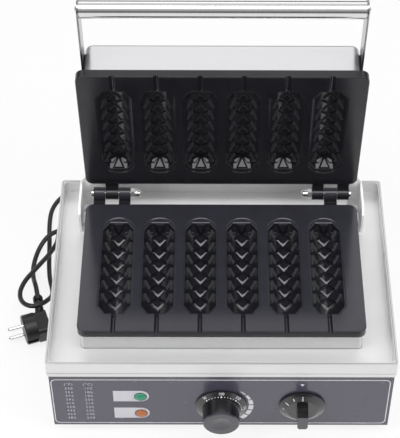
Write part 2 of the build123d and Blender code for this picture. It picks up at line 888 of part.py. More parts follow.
def grip_outline(width, y):
    """Outline of the bar grip at y, with its lower corners cut off."""
    half = width / 2
    cut = timer_grip_chamfer
    points = [
        (half, timer_grip_up),
        (half, cut - timer_grip_down),
        (half - cut / 2, -timer_grip_down),
        (cut / 2 - half, -timer_grip_down),
        (-half, cut - timer_grip_down),
        (-half, timer_grip_up),
    ]
    return make_face(Plane.XZ.offset(-y) * Polyline(*points, close=True))


def make_lens(z):
    """Lamp lens: a flange on the panel and a low dome."""
    flange_y = panel_face_y - lens_flange_t
    flange = rod_y(lens_r, flange_y, panel_face_y, lamp_x, z)
    dome_base_r = lens_r - lens_flange_t / 2
    radius = (dome_base_r**2 + lens_dome_h**2) / (2 * lens_dome_h)
    ball = Pos(lamp_x, flange_y - lens_dome_h + radius, z) * Sphere(radius)
    cap_side = 2 * lens_r
    cap = ball & block(
        (lamp_x - cap_side, flange_y - cap_side, z - cap_side), (lamp_x + cap_side, flange_y, z + cap_side)
    )
    return flange + cap


def make_lamp_body(z):
    return rod_y(lamp_body_r, panel_face_y, panel_face_y + lamp_body_l, lamp_x, z)


def make_terminal_block():
    low = (terminal_x - terminal_w / 2, terminal_y - terminal_l / 2, housing_z)
    high = (terminal_x + terminal_w / 2, terminal_y + terminal_l / 2, housing_z + terminal_h)
    body = block(low, high)
    pitch = terminal_w / terminal_count
    for i in range(1, terminal_count):
        x = low[0] + i * pitch
        slot_low = (x - terminal_slot_w / 2, low[1] - over, high[2] - terminal_slot_depth)
        body -= block(slot_low, (x + terminal_slot_w / 2, high[1] + over, high[2] + over))
    return body


def make_strain_relief():
    """Cord gland at the rear wall with its tapered sleeve outside."""
    inside = wall_rear_y - housing_sheet
    sleeve_y = wall_rear_y + gland_flange_t
    profile = [
        (0, inside - gland_nut_h),
        (gland_nut_r, inside - gland_nut_h),
        (gland_nut_r, inside),
        (gland_neck_r, inside),
        (gland_neck_r, wall_rear_y),
        (gland_flange_r, wall_rear_y),
        (gland_flange_r, sleeve_y),
        (gland_root_r, sleeve_y),
        (cord_r + gland_tip_wall, sleeve_y + gland_sleeve_l),
        (0, sleeve_y + gland_sleeve_l),
    ]
    return turned_y(profile, gland_x, gland_z)


def make_lead_gland(wall_outer_y, sheet, z):
    """Gland for the lead between base and lid, screwed into a rear wall."""
    inside = wall_outer_y - sheet
    hexagon = Plane.XZ.offset(-wall_outer_y) * RegularPolygon(lead_gland_across / 2, 6, major_radius=False)
    gland = extrude(hexagon, amount=-lead_gland_hex_h)
    end_y = wall_outer_y + lead_gland_l
    gland += rod_y(lead_gland_collar_r, inside, end_y, 0, 0)
    gland -= rod_y(lead_gland_bore_r, end_y - lead_gland_bore_depth, end_y + over, 0, 0)
    return Pos(lead_gland_x, 0, z) * gland


def make_lid_cover():
    shell = slab(cover_w, cover_l, cover_corner_r, cover_z, cover_top_z, plate_mid_y)
    shell = fillet(shell.edges().group_by(Axis.Z)[-1], cover_top_r)
    hollow_w = cover_w - 2 * cover_sheet
    hollow_l = cover_l - 2 * cover_sheet
    hollow_r = cover_corner_r - cover_sheet
    hollow = slab(hollow_w, hollow_l, hollow_r, cover_z - over, cover_top_z - cover_sheet, plate_mid_y)
    hollow = fillet(hollow.edges().group_by(Axis.Z)[-1], cover_top_r - cover_sheet)
    shell -= hollow
    hole_r = lead_gland_collar_r + gland_hole_clear
    gland_hole_z = cover_z + lead_gland_lid_rise
    shell -= rod_y(hole_r, cover_rear_y - cover_sheet - over, cover_rear_y + over, lead_gland_x, gland_hole_z)
    for x0 in (-cover_w / 2 - over, cover_w / 2 - cover_sheet - over):
        for y, z in rivet_places():
            shell -= rod_x(rivet_r + screw_hole_clear, x0, x0 + cover_sheet + 2 * over, y, z)
    return shell


def rivet_places():
    """Rivets of one handle arm, as (y, z)."""
    first = arm_root_y - rivet_inset
    return [(first, tube_z), (first - rivet_pitch, tube_z)]


def make_handle_tube():
    half = cover_w / 2
    tube = rod_x(handle_tube_r, -half, half, tube_y, tube_z)
    return tube - rod_x(handle_tube_r - handle_tube_wall, -half - over, half + over, tube_y, tube_z)


def make_handle_end_plugs():
    """Plugs in the tube's ends that take the handle screws."""
    end = cover_w / 2
    radius = handle_tube_r - handle_tube_wall
    plug = rod_x(radius, end - handle_plug_l, end, tube_y, tube_z)
    depth = handle_screw_l + touch_gap
    plug -= rod_x(handle_screw_r + screw_hole_clear, end - depth, end + over, tube_y, tube_z)
    return Compound([plug, mirrored(plug)])


def make_handle_arm():
    """Right-hand flat arm, round at both ends, from the cover's side to the tube."""
    length = arm_root_y - arm_w / 2 - tube_y
    outline = Pos((arm_root_y - arm_w / 2 + tube_y) / 2, tube_z) * SlotCenterToCenter(length, arm_w)
    arm = extrude(Plane.YZ.offset(arm_x) * outline, amount=arm_t)
    holes = [(tube_y, tube_z, handle_screw_r)] + [(y, z, rivet_r) for y, z in rivet_places()]
    for y, z, radius in holes:
        arm -= rod_x(radius + screw_hole_clear, arm_x - over, arm_x + arm_t + over, y, z)
    return arm


def domed_pin(shank_r, head_r, head_h, inner_x, seat_x, y, z):
    """Screw or rivet along x with a domed head on the seat at its outer end."""
    radius = (head_r**2 + head_h**2) / (2 * head_h)
    half_turn = acos(1 - head_h / radius) / 2
    centre = seat_x + head_h - radius
    dome = ThreePointArc(
        (seat_x, head_r),
        (centre + radius * cos(half_turn), radius * sin(half_turn)),
        (seat_x + head_h, 0),
    )
    outline = [
        Line((inner_x, 0), (inner_x, shank_r)),
        Line((inner_x, shank_r), (seat_x, shank_r)),
        Line((seat_x, shank_r), (seat_x, head_r)),
        dome,
        Line((seat_x + head_h, 0), (inner_x, 0)),
    ]
    return Pos(0, y, z) * revolve(make_face(outline), Axis.X)


def make_handle_screws():
    seat = arm_x + arm_t
    inner = arm_x - handle_screw_l
    screw = domed_pin(
        handle_screw_r, handle_screw_head_r, handle_screw_head_h, inner, seat, tube_y, tube_z
    )
    return Compound([screw, mirrored(screw)])


def make_arm_rivets():
    seat = arm_x + arm_t
    inner = cover_w / 2 - cover_sheet
    rivets = [domed_pin(rivet_r, rivet_head_r, rivet_head_h, inner, seat, y, z) for y, z in rivet_places()]
    return Compound(rivets + [mirrored(rivet) for rivet in rivets])


def opened(shape):
    """The lid's pieces turned from closed to open about the hinge axis."""
    return Pos(0, axis_y, axis_z) * Rot(X=-open_angle) * Pos(0, -axis_y, -axis_z) * shape


# The cord's route, chosen by hand: from the rear wall to the coil, and from the coil to the plug
neck_start = (plug_frame * Pos(plug_neck_offset, plug_back_reach / 2, 0)).position
cord_exit = Vector(plug_neck_end_x, plug_neck_end_y, neck_start.Z)
stub_end = cord_exit + (cord_exit - neck_start).normalized() * cord_stub_l
sleeve_end_y = wall_rear_y + gland_flange_t + gland_sleeve_l
coil_pitch = cord_d + coil_gap
coil_outer_r = coil_mid_turn_d / 2 + coil_in_half_turns / 4 * coil_pitch
coil_start = (coil_x, coil_y + coil_outer_r, cord_r)
lead_route = [
    (gland_x, sleeve_end_y, gland_z),
    (gland_x, 324, gland_z),
    (-104, 346, 29),
    (-100, 366, 14),
    (-88, 387, 3.6),
    (-62, 403, 2.9),
    (-20, coil_start[1], cord_r),
    coil_start,
]
run_route = [
    (coil_x, coil_y - coil_outer_r, cord_r + coil_pitch),
    (-8, coil_y - coil_outer_r, cord_r + coil_pitch),
    (-34, 334.6, 3.4),
    (-70, 338, 2.9),
    (-108, 348, 2.9),
    (-142, 370, 2.9),
    (-174, 378, 2.9),
    (-203, 366, 2.9),
    (-217, 342, 2.9),
    (-218, 312, 2.9),
    (-215, 280, 2.9),
    (-213.5, 248, 2.9),
    (-210.5, 222, 2.9),
    (-205.5, 203, 7),
    (-203.5, 187, 15),
    (-206, 173, 25),
    (-212, 160.5, 32),
    (-223, 155, 33),
    (-234, 161.5, 29),
    (-241, 175, 23),
    (-243, 191, 19),
    (-238.5, 207, 18.5),
    (-230, 221, 18.5),
    (-221, 237, 17),
    (-213.5, 251, 15),
    (-207.5, 267, 11.5),
    (-205, 285, 4),
    (-205, 306, 2.9),
    (-202, 327, 2.9),
    (-190, 343, 2.9),
    (-171, 347, 2.9),
    (-155, 337, 2.9),
    (-153, 318, 2.9),
    (-166, 303, 6),
    (-185, 298, 11),
    (-202, 294, 14.5),
    (-216, 285, 14.5),
    (-226, 272, 8),
    (-231.5, 255, 3),
    (-232.5, 237, 3.5),
    (-230, 219, 8),
    tuple(stub_end),
    tuple(cord_exit),
]


def bend_radii(route):
    """Radius of each corner's arc, from its shorter run and its turn."""
    points = [Vector(*p) for p in route]
    radii = []
    for a, b, c in zip(points, points[1:], points[2:]):
        half_turn = radians((b - a).get_angle(c - b)) / 2
        radii.append(bend_share * min((b - a).length, (c - b).length) / tan(half_turn))
    return radii


def make_cord(route, name):
    """Round cord along straight runs joined by tangent arcs; prints its radii and compares its volume."""
    radii = bend_radii(route)
    path = FilletPolyline(*route, radius=radii)
    cord = tube_along(path, cord_r)
    swept = pi * cord_r**2 * path.length
    print(name, "length", round(path.length, 1), "volume share", round(cord.volume / swept, 4))
    print(name, "radii", [round(r, 1) for r in radii])
    return cord


def coil_arcs():
    """Arcs of the put-away coil: half turns that spiral in, one climbing half turn, half turns out."""
    arcs = []
    side = 1
    y = coil_y + coil_outer_r
    z = cord_r
    radius = coil_outer_r
    for _ in range(coil_in_half_turns):
        arcs.append(half_turn(y, radius, side, z))
        y -= side * 2 * radius
        radius -= coil_pitch / 2
        side = -side
    arcs += climbing_half_turn(y, radius, side, z)
    y -= side * 2 * radius
    z += coil_pitch
    for _ in range(coil_in_half_turns):
        radius += coil_pitch / 2
        side = -side
        arcs.append(half_turn(y, radius, side, z))
        y -= side * 2 * radius
    return arcs


def half_turn(y, radius, side, z):
    """Level half turn, clockwise from above, that starts at y and ends a diameter away."""
    middle = (coil_x + side * radius, y - side * radius, z)
    return (coil_x, y, z), middle, (coil_x, y - side * 2 * radius, z)


def climbing_half_turn(y, radius, side, z):
    """Half turn that rises by one layer, as two quarter arcs that meet at its middle."""
    rise = coil_pitch
    reach = sqrt(radius**2 + rise**2 / 4)
    start = Vector(coil_x, y, z)
    end = Vector(coil_x, y - side * 2 * radius, z + rise)
    meet = Vector(coil_x + side * reach, y - side * radius, z + rise / 2)
    arcs = []
    for a, b, corner in (
        (start, meet, Vector(coil_x + side * reach, start.Y, start.Z)),
        (meet, end, Vector(coil_x + side * reach, end.Y, end.Z)),
    ):
        centre = a + b - corner
        middle = centre + (corner - centre).normalized() * (a - centre).length
        arcs.append((tuple(a), tuple(middle), tuple(b)))
    return arcs


def make_coil():
    """Put-away coil as one unbroken tube; prints its length and its least gap to itself."""
    arcs = coil_arcs()
    path = Wire([Edge.make_three_point_arc(Vector(*a), Vector(*m), Vector(*b)) for a, m, b in arcs])
    coil = tube_along(path, cord_r)
    print("coil length", round(path.length, 1), "least gap", round(least_gap(path), 2))
    return coil


def least_gap(path):
    """Least clear gap between stretches of the coil that are over a third of a turn apart."""
    steps = 360
    points = [path @ (i / steps) for i in range(steps + 1)]
    spacing = path.length / steps
    apart = round(coil_mid_turn_d / spacing)
    least = path.length
    for i, a in enumerate(points):
        for b in points[i + apart:]:
            least = min(least, (a - b).length)
    return least - cord_d


def make_plug_body():
    profile = [
        (0, 0),
        (0, plug_r - plug_face_break),
        (plug_face_break, plug_r),
        (plug_disc_t, plug_r),
        (plug_disc_t, 0),
    ]
    body = turned_x(profile, 0, 0)
    back_len = plug_back_reach + plug_r - plug_face_break
    back_mid = (plug_back_reach - plug_r + plug_face_break) / 2
    back = RectangleRounded(back_len, plug_back_w, plug_back_r)
    body += extrude(Plane.YZ.offset(plug_disc_t) * Pos(back_mid, 0) * back, amount=plug_t - plug_disc_t)
    clip = Box(plug_recess_l + over, plug_clip_depth + over, plug_clip_w)
    for side in (-1, 1):
        body -= Pos((plug_recess_l - over) / 2, side * (plug_r + over / 2 - plug_clip_depth / 2), 0) * clip
    body -= plug_pin_holes()
    return plug_frame * body + make_plug_neck()


def make_plug_neck():
    """Tapered neck with a collar, from the plug's back to the cord."""
    length = (cord_exit - neck_start).length
    collar_mid = length - plug_collar_back - plug_collar_w / 2
    collar_from = collar_mid - plug_collar_w / 2
    collar_to = collar_mid + plug_collar_w / 2
    profile = [
        (0, 0),
        (plug_neck_r, 0),
        (plug_neck_tip_r, collar_from),
        (plug_collar_r, collar_from),
        (plug_collar_r, collar_to),
        (plug_neck_tip_r, length),
        (0, length),
    ]
    neck = revolve(make_face(Plane.XZ * Polyline(*profile, close=True)), Axis.Z)
    return Plane(origin=neck_start, z_dir=cord_exit - neck_start) * neck


def plug_pin_holes():
    places = (-plug_pin_pitch / 2, plug_pin_pitch / 2)
    return [rod_x(plug_pin_r, -over, plug_disc_t / 2, 0, z) for z in places]


def make_plug_pins():
    profile = [
        (plug_disc_t / 2, 0),
        (plug_disc_t / 2, plug_pin_r),
        (plug_pin_break - plug_pin_l, plug_pin_r),
        (-plug_pin_l, plug_pin_r - plug_pin_break),
        (-plug_pin_l, 0),
    ]
    places = (-plug_pin_pitch / 2, plug_pin_pitch / 2)
    return Compound([plug_frame * turned_x(profile, 0, z) for z in places])


def base_pieces():
    core_z = plate_top_z - core_depth
    heater_z = core_z - heater_r - touch_gap
    pin = make_hinge_pin()
    nut = make_acorn_nut()
    bracket = make_stop_bracket()
    return {
        "base_housing": make_base_housing(),
        "bottom_cover": make_bottom_cover(),
        "front_panel": make_front_panel(),
        "deck_tray": make_deck_tray(),
        "feet": make_feet(),
        "foot_screws": make_foot_screws(),
        "plinth": make_plinth(),
        "lower_plate": Pos(0, 0, plate_top_z) * make_casting(),
        "lower_heater": make_heater(heater_z, -lower_heater_tail),
        "lower_insulation": make_pad(deck_z, heater_z - heater_r - seat_gap),
        "hinge_pin_left": mirrored(pin),
        "hinge_pin_right": pin,
        "acorn_nut_left": mirrored(nut),
        "acorn_nut_right": nut,
        "stop_bracket_left": mirrored(bracket),
        "stop_bracket_right": bracket,
        "bracket_screws": make_bracket_screws(),
        "thermostat_body": make_control_body(temperature_x, thermostat_w, thermostat_d, thermostat_h),
        "thermostat_sensor": make_thermostat_sensor(core_z),
        "timer_body": make_control_body(timer_x, timer_body_w, timer_body_d, timer_body_w),
        "heating_lamp_lens": make_lens(heating_lamp_z),
        "heating_lamp_body": make_lamp_body(heating_lamp_z),
        "power_lamp_lens": make_lens(power_lamp_z),
        "power_lamp_body": make_lamp_body(power_lamp_z),
        "terminal_block": make_terminal_block(),
        "base_lead_gland": make_lead_gland(wall_rear_y, housing_sheet, lead_gland_z),
        "thermostat_shaft": make_shaft(temperature_x),
        "temperature_knob": make_temperature_knob(),
        "timer_shaft": make_shaft(timer_x),
        "timer_knob": make_timer_knob(),
    }


def lid_pieces():
    """The lid's pieces, closed."""
    core_z = lid_face_z + core_depth
    heater_z = core_z + heater_r + touch_gap
    pad_z = heater_z + heater_r + seat_gap
    pad_top_z = cover_top_z - cover_sheet - seat_gap
    arm = make_handle_arm()
    return {
        "upper_plate": Pos(0, 0, lid_face_z) * Rot(Y=180) * make_casting(),
        "upper_heater": make_heater(heater_z, upper_heater_tail),
        "upper_insulation": make_pad(pad_z, pad_top_z),
        "lid_cover": make_lid_cover(),
        "lid_lead_gland": make_lead_gland(cover_rear_y, cover_sheet, cover_z + lead_gland_lid_rise),
        "handle_tube": make_handle_tube(),
        "handle_end_plugs": make_handle_end_plugs(),
        "handle_arm_left": mirrored(arm),
        "handle_arm_right": arm,
        "handle_screws": make_handle_screws(),
        "arm_rivets": make_arm_rivets(),
    }


def cord_pieces():
    return {
        "cord_strain_relief": make_strain_relief(),
        "supply_cord_lead": make_cord(lead_route, "lead"),
        "supply_cord_coil": make_coil(),
        "supply_cord_run": make_cord(run_route, "run"),
        "plug_body": make_plug_body(),
        "plug_pins": make_plug_pins(),
    }


pieces = base_pieces()
for name, shape in lid_pieces().items():
    pieces[name] = opened(shape)
box = Compound(list(pieces.values())).bounding_box()
to_middle = Pos(-box.center().X, -box.center().Y, 0)
pieces.update(cord_pieces())

print("move in y", round(-box.center().Y, 4), "hinge axis y", round(axis_y - box.center().Y, 4), "z", axis_z)
os.makedirs("parts", exist_ok=True)
for name, shape in pieces.items():
    export_step(to_middle * shape, f"parts/{name}.step")
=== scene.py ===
import bpy
import bmesh
import math
from mathutils import Matrix, Vector


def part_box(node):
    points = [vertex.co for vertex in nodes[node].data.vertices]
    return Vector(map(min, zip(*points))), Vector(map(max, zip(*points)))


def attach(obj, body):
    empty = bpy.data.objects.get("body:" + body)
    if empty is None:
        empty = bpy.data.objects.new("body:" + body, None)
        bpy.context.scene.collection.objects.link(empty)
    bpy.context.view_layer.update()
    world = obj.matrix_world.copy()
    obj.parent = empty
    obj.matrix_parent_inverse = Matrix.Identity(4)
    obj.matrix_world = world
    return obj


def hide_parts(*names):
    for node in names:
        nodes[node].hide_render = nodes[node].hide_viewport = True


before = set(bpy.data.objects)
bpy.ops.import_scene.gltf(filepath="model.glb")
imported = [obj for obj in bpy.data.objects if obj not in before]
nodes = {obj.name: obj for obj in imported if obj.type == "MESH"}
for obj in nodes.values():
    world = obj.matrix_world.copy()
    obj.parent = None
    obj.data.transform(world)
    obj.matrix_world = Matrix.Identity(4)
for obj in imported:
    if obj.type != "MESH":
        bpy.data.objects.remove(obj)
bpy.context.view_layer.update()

# Places are in millimetres, as in the solids: right of the middle, behind the tray's front, above the floor
MM = 0.001
FRONT_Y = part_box("deck_tray")[0].y


def at(x, y, z):
    """Point in the row's frame, in metres."""
    return Vector((x * MM, y * MM + FRONT_Y, z * MM))


def add_object(name, data):
    thing = bpy.data.objects.new(name, data)
    bpy.context.scene.collection.objects.link(thing)
    return thing


# Camera, placed as the photograph was taken
CAMERA_PLACE = (-9.47, -962.29, 1415.73)
CAMERA_PITCH, CAMERA_YAW, CAMERA_ROLL = 47.83, 0.136, 0.223
LENS, SENSOR_W = 122.87, 36
LENS_SHIFT = (-0.0353, 0.0082)
FAR_CLIP = 30


def make_camera():
    pitch, yaw, roll = (math.radians(angle) for angle in (CAMERA_PITCH, CAMERA_YAW, CAMERA_ROLL))
    right = Vector((math.cos(yaw), -math.sin(yaw), 0))
    ahead = Vector((math.sin(yaw), math.cos(yaw), 0))
    forward = ahead * math.cos(pitch) - Vector((0, 0, math.sin(pitch)))
    up = ahead * math.sin(pitch) + Vector((0, 0, math.cos(pitch)))
    x_axis = right * math.cos(roll) + up * math.sin(roll)
    y_axis = up * math.cos(roll) - right * math.sin(roll)
    turn = Matrix((x_axis, y_axis, -forward)).transposed().to_4x4()
    data = bpy.data.cameras.new("camera")
    data.lens = LENS
    data.sensor_width = SENSOR_W
    data.shift_x, data.shift_y = LENS_SHIFT
    data.clip_end = FAR_CLIP
    camera = add_object("camera", data)
    camera.matrix_world = Matrix.Translation(at(*CAMERA_PLACE)) @ turn
    bpy.context.scene.camera = camera


make_camera()


# Shader nodes
NOISE_LOW, NOISE_HIGH = 0.3, 0.7
COAT_ROUGHNESS = 0.12
BUMP_DISTANCE = 0.0002
BEVEL_SAMPLES = 6


def feed(tree, node, inputs):
    """Sets a node's inputs by name or number: a socket is linked, and anything else is a plain value."""
    for key, value in inputs.items():
        if isinstance(value, bpy.types.NodeSocket):
            tree.links.new(value, node.inputs[key])
        else:
            node.inputs[key].default_value = value


def add_node(tree, kind, inputs=None):
    node = tree.nodes.new(kind)
    feed(tree, node, inputs or {})
    return node


def math_value(tree, operation, *values):
    node = tree.nodes.new("ShaderNodeMath")
    node.operation = operation
    feed(tree, node, dict(enumerate(values)))
    return node.outputs[0]


def mixed_shader(tree, share, first, second):
    return add_node(tree, "ShaderNodeMixShader", {0: share, 1: first, 2: second}).outputs[0]


def object_noise(tree, scale, stretch=(1, 1, 1), detail=3.0):
    """Noise over the piece's own coordinates, stretched by axis."""
    coords = add_node(tree, "ShaderNodeTexCoord")
    mapping = add_node(tree, "ShaderNodeMapping", {"Vector": coords.outputs["Object"], "Scale": stretch})
    inputs = {"Vector": mapping.outputs["Vector"], "Scale": scale, "Detail": detail}
    return add_node(tree, "ShaderNodeTexNoise", inputs).outputs["Fac"]


def ranged(tree, value, low, high, from_low=NOISE_LOW, from_high=NOISE_HIGH):
    """Value that goes from low to high while the given one goes through its own range."""
    inputs = {"Value": value, "From Min": from_low, "From Max": from_high, "To Min": low, "To Max": high}
    return add_node(tree, "ShaderNodeMapRange", inputs).outputs["Result"]


def tinted(tree, value, dark, light):
    """Colour between two, chosen by a noise value."""
    ramp = add_node(tree, "ShaderNodeValToRGB", {"Fac": value})
    first, last = ramp.color_ramp.elements
    first.position, last.position = NOISE_LOW, NOISE_HIGH
    first.color, last.color = (*dark, 1), (*light, 1)
    return ramp.outputs["Color"]


def bumped(tree, value, strength, edge):
    """Normal with a fine bump and, where edge is a radius in metres, with edges rounded by it."""
    inputs = {"Strength": strength, "Distance": BUMP_DISTANCE, "Height": value}
    if edge:
        bevel = add_node(tree, "ShaderNodeBevel", {"Radius": edge})
        bevel.samples = BEVEL_SAMPLES
        inputs["Normal"] = bevel.outputs["Normal"]
    return add_node(tree, "ShaderNodeBump", inputs).outputs["Normal"]


def scaled(color, share):
    return tuple(min(1.0, c * share) for c in color)


def surface(name, color, roughness, metallic=0.0, spread=0.08, shade=0.06, grain=60.0, stretch=(1, 1, 1),
            bump=0.0, bump_scale=900.0, coat=0.0, specular=0.5, edge=0.0):
    """Material whose colour and roughness vary a little over the piece, with a fine bump and, where
    edge is a radius in metres, edges that catch the light as cast and coated ones do."""
    material = bpy.data.materials.new(name)
    material.use_nodes = True
    tree = material.node_tree
    wide = object_noise(tree, grain, stretch)
    inputs = {
        "Metallic": metallic, "Specular IOR Level": specular,
        "Coat Weight": coat, "Coat Roughness": COAT_ROUGHNESS,
        "Base Color": tinted(tree, wide, scaled(color, 1 - shade), scaled(color, 1 + shade)),
        "Roughness": ranged(tree, wide, roughness * (1 - spread), roughness * (1 + spread)),
    }
    if bump:
        fine = object_noise(tree, bump_scale, stretch, detail=2.0)
        inputs["Normal"] = bumped(tree, fine, bump, edge)
    feed(tree, tree.nodes["Principled BSDF"], inputs)
    return material


def srgb(*levels):
    """Linear colour from screen levels of 0 to 255."""
    shares = [level / 255 for level in levels]
    return tuple(((c + 0.055) / 1.055) ** 2.4 if c > 0.04045 else c / 12.92 for c in shares)


def step_color(material, axis, place, blur, before, after):
    """Scales a material's colour by one share before a place along an axis and by another after it."""
    tree = material.node_tree
    shader = tree.nodes["Principled BSDF"]
    color = shader.inputs["Base Color"].links[0].from_socket
    coords = add_node(tree, "ShaderNodeTexCoord")
    split = add_node(tree, "ShaderNodeSeparateXYZ", {0: coords.outputs["Object"]})
    start, end = (at(edge, edge, edge)["XYZ".index(axis)] for edge in (place - blur, place + blur))
    scale = tree.nodes.new("ShaderNodeVectorMath")
    scale.operation = "SCALE"
    feed(tree, scale, {0: color, "Scale": ranged(tree, split.outputs[axis], before, after, start, end)})
    feed(tree, shader, {"Base Color": scale.outputs[0]})


# Metals
stainless = surface("stainless", srgb(218, 218, 220), 0.36, metallic=0.92, shade=0.03, grain=14,
                    stretch=(0.25, 1, 6), bump=0.05, bump_scale=700)
deck_steel = surface("deck_steel", srgb(228, 228, 228), 0.46, metallic=0.62, shade=0.03, grain=10,
                     stretch=(0.3, 3, 3), bump=0.04, bump_scale=600)
# Painted shade: a darker copy of the stainless, for the shade on the plinth under the lower plate
shaded_plinth_steel = surface("shaded_plinth_steel", srgb(198, 198, 199), 0.38, metallic=0.85, shade=0.03, grain=14,
                       stretch=(0.25, 1, 6), bump=0.05, bump_scale=700)
satin_steel = surface("satin_steel", srgb(244, 244, 244), 0.55, shade=0.05, grain=160,
                      bump=0.12, bump_scale=1500)
# Painted shade: a darker copy of the polished steel, for the darker reflections on the handle's arms
shaded_arm_steel = surface("shaded_arm_steel", srgb(150, 150, 153), 0.20, metallic=1.0, shade=0.02, spread=0.02, grain=20)
tube_steel = surface("polished_steel", srgb(222, 222, 222), 0.17, metallic=1.0, shade=0.02, spread=0.02,
                     grain=20)
bright = surface("bright_fastener", srgb(232, 232, 232), 0.14, metallic=1.0, shade=0.03, grain=300)
case_steel = surface("control_case", srgb(196, 196, 190), 0.34, metallic=0.9, grain=80)
heater = surface("heater_sheath", srgb(122, 116, 112), 0.42, metallic=0.9, shade=0.15, grain=90)
brass = surface("shaft_brass", srgb(206, 176, 104), 0.28, metallic=1.0, grain=200)
copper = surface("copper_tube", srgb(200, 128, 92), 0.3, metallic=1.0, grain=120)

# Coatings, plastics and rubber
# The lower plate's coating: a lighter copy of the upper plate's, painted lit where the plate faces up into
# the top light
coating_painted_lit_and_shaded = surface("coating_painted_lit_and_shaded", srgb(46, 46, 53), 0.16, shade=0.10, spread=0.14, grain=45,
                       bump=0.06, bump_scale=1600)
coating = surface("coated_casting", srgb(27, 26, 31), 0.18, shade=0.10, spread=0.14, grain=45,
                  bump=0.06, bump_scale=1600, edge=0.0009)
panel_print = surface("panel_print", srgb(71, 68, 83), 0.26, shade=0.02, grain=30, coat=0.5)
knob_black = surface("knob_resin", srgb(11, 10, 14), 0.24, shade=0.08, grain=120, bump=0.03, coat=0.4,
                     specular=0.8)
rubber = surface("foot_rubber", srgb(26, 26, 26), 0.72, shade=0.10, grain=200, bump=0.25, bump_scale=1400)
cord_black = surface("cord_sheath", srgb(20, 20, 23), 0.40, shade=0.10, grain=160, bump=0.12, bump_scale=1200)
plug_black = surface("plug_case", srgb(8, 8, 10), 0.36, shade=0.08, grain=150, bump=0.06)
gland_black = surface("gland_nylon", srgb(30, 30, 30), 0.48, shade=0.08, grain=200, bump=0.1)
board = surface("insulation_board", srgb(226, 222, 210), 0.9, shade=0.05, grain=140, bump=0.4)
nylon = surface("white_nylon", srgb(226, 226, 220), 0.5, shade=0.03, grain=150)
glaze = surface("terminal_case", srgb(230, 227, 214), 0.25, shade=0.03, grain=90)
lens_green = surface("lens_green", srgb(40, 138, 104), 0.16, shade=0.05, grain=200, coat=0.4)
lens_orange = surface("lens_amber", srgb(176, 104, 60), 0.16, shade=0.05, grain=200, coat=0.4)

# Print, labels, a dark joint, and painted shade and shadow
print_white = surface("print_white", srgb(226, 226, 232), 0.5, shade=0.02, grain=200)
number_grey = surface("number_print", srgb(204, 202, 214), 0.5, shade=0.02, grain=200)
label_white = surface("label_white", srgb(208, 207, 214), 0.35, shade=0.015, grain=80)
seam_shade = surface("seam_shade", srgb(128, 128, 130), 0.5, metallic=0.3, shade=0.04, grain=200)
# Painted shadow round the lamp lenses
lens_shadow = surface("lens_shadow", srgb(58, 62, 60), 0.4, shade=0.04, grain=200)

# Painted shade on the top of the tray's rim, painted shade inside the lower moulds, and paler end faces on
# the knobs, partly their grey insert discs and partly a painted reflection
RIM_EDGE_Z, MOULD_MOUTH_Z, KNOB_FACE_Y = 125.95, 143.0, -23.5
# Painted shade: the tray's colour above RIM_EDGE_Z, the rim's top, is darkened to 0.78
step_color(deck_steel, "Z", RIM_EDGE_Z, blur=0.05, before=1.0, after=0.78)
# Painted shade inside the lower moulds: the coating is darkened to 0.42 below their mouths
step_color(coating_painted_lit_and_shaded, "Z", MOULD_MOUTH_Z, blur=0.2, before=0.42, after=1.0)
# Knob end faces 9 times paler: partly their grey insert disc, partly a painted reflection, with a painted
# highlight on the grip's edge near the tip
step_color(knob_black, "Y", KNOB_FACE_Y, blur=0.1, before=9.0, after=1.0)

NODE_MATERIALS = {
    "base_housing": stainless, "bottom_cover": stainless, "plinth": shaded_plinth_steel, "lid_cover": stainless,
    "deck_tray": deck_steel, "stop_bracket_left": satin_steel, "stop_bracket_right": satin_steel,
    "front_panel": panel_print, "feet": rubber, "foot_screws": bright, "bracket_screws": bright,
    "lower_plate": coating_painted_lit_and_shaded, "upper_plate": coating, "lower_heater": heater, "upper_heater": heater,
    "lower_insulation": board, "upper_insulation": board, "hinge_pin_left": bright, "hinge_pin_right": bright,
    "acorn_nut_left": bright, "acorn_nut_right": bright,
    "thermostat_body": case_steel, "timer_body": case_steel, "thermostat_sensor": copper,
    "heating_lamp_body": nylon, "power_lamp_body": nylon, "terminal_block": glaze,
    "base_lead_gland": gland_black, "lid_lead_gland": gland_black, "cord_strain_relief": cord_black,
    "plug_body": plug_black, "plug_pins": bright, "handle_tube": tube_steel, "handle_end_plugs": gland_black,
    "handle_arm_left": shaded_arm_steel, "handle_arm_right": shaded_arm_steel, "handle_screws": bright,
    "arm_rivets": bright, "temperature_knob": knob_black, "timer_knob": knob_black,
    "thermostat_shaft": brass, "timer_shaft": brass,
    "heating_lamp_lens": lens_orange, "power_lamp_lens": lens_green,
}
for name, material in NODE_MATERIALS.items():
    nodes[name].data.materials.clear()
    nodes[name].data.materials.append(material)


